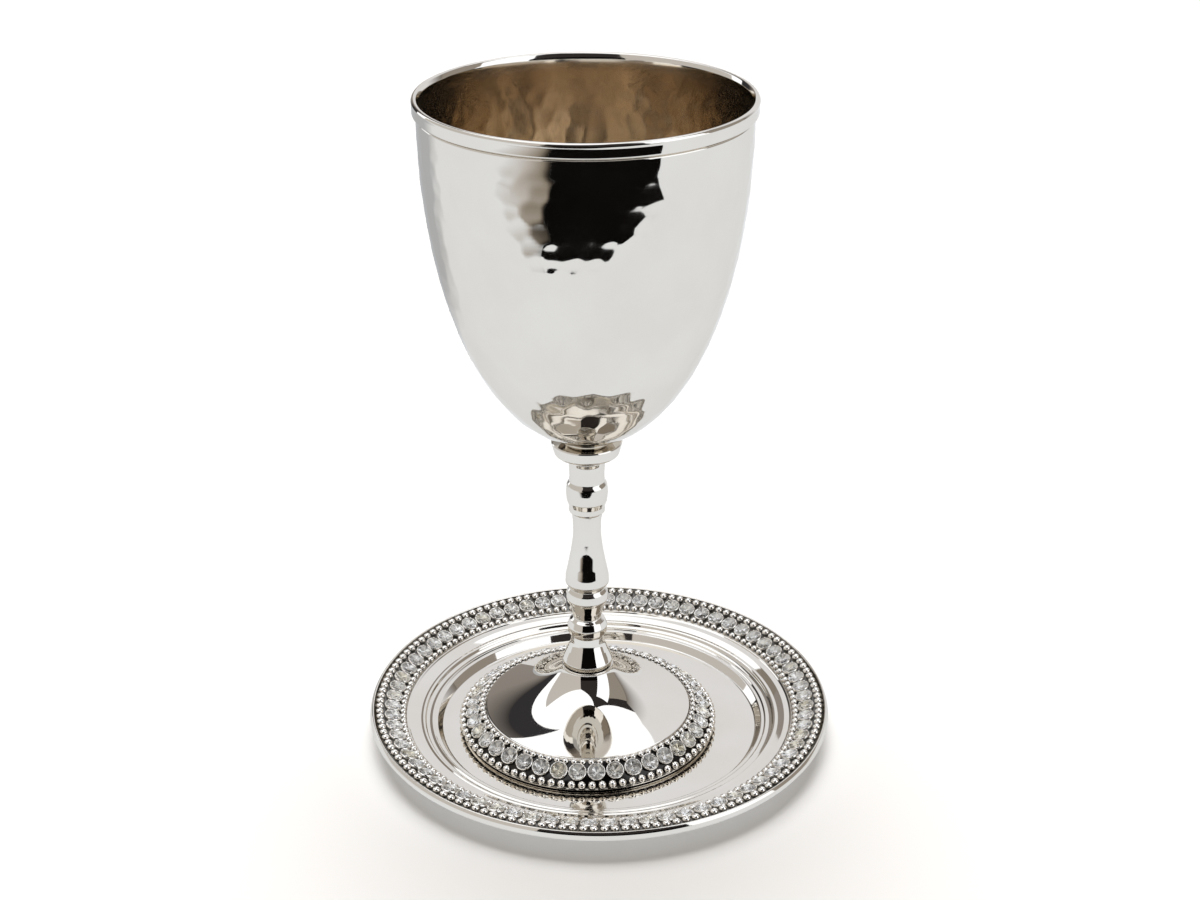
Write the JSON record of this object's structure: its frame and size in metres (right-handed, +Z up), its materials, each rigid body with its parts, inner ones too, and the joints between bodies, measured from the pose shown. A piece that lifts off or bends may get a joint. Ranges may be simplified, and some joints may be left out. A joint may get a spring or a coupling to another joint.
{
  "type": "kiddush cup with saucer",
  "caption": "Stemmed goblet with a hammered bowl, turned baluster stem and trumpet foot, standing on a shallow saucer; foot and saucer are bordered by clear stones between rows of beads.",
  "frame": {"origin": "middle of the saucer's flat underside, on the surface that it stands on; the cup's axis is at x = -3 mm", "axes": "+Z up, from the saucer to the mouth of the bowl; the object is turned round Z, so +X and +Y are any two level directions"},
  "size_m": [0.117, 0.1174, 0.1665],
  "materials": {
    "hammered_nickel": "polished nickel plate over shallow hammer marks",
    "bright_nickel": "mirror-polished nickel plate",
    "saucer_nickel": "polished nickel plate, fine buffing marks",
    "beaded_nickel": "polished beads, darker in the hollows between them",
    "crystal": "clear faceted glass on a bright backing"
  },
  "bodies": {
    "root": {"bowl": "hammered_nickel", "collar": "bright_nickel", "stem": "bright_nickel", "foot": "bright_nickel", "foot_band": "beaded_nickel", "foot_stone_01": "crystal", "foot_stone_02": "crystal", "foot_stone_03": "crystal", "foot_stone_04": "crystal", "foot_stone_05": "crystal", "foot_stone_06": "crystal", "foot_stone_07": "crystal", "foot_stone_08": "crystal", "foot_stone_09": "crystal", "foot_stone_10": "crystal", "foot_stone_11": "crystal", "foot_stone_12": "crystal", "foot_stone_13": "crystal", "foot_stone_14": "crystal", "foot_stone_15": "crystal", "foot_stone_16": "crystal", "foot_stone_17": "crystal", "foot_stone_18": "crystal", "foot_stone_19": "crystal", "foot_stone_20": "crystal", "foot_stone_21": "crystal", "foot_stone_22": "crystal", "foot_stone_23": "crystal", "foot_stone_24": "crystal", "foot_stone_25": "crystal", "foot_stone_26": "crystal", "foot_stone_27": "crystal", "foot_stone_28": "crystal", "foot_stone_29": "crystal", "foot_stone_30": "crystal", "foot_stone_31": "crystal", "foot_stone_32": "crystal", "foot_stone_33": "crystal", "foot_stone_34": "crystal", "foot_stone_35": "crystal", "foot_stone_36": "crystal", "foot_stone_37": "crystal", "foot_stone_38": "crystal", "foot_stone_39": "crystal", "foot_stone_40": "crystal", "saucer": "saucer_nickel", "saucer_band": "beaded_nickel"}
  },
  "joints": []
}
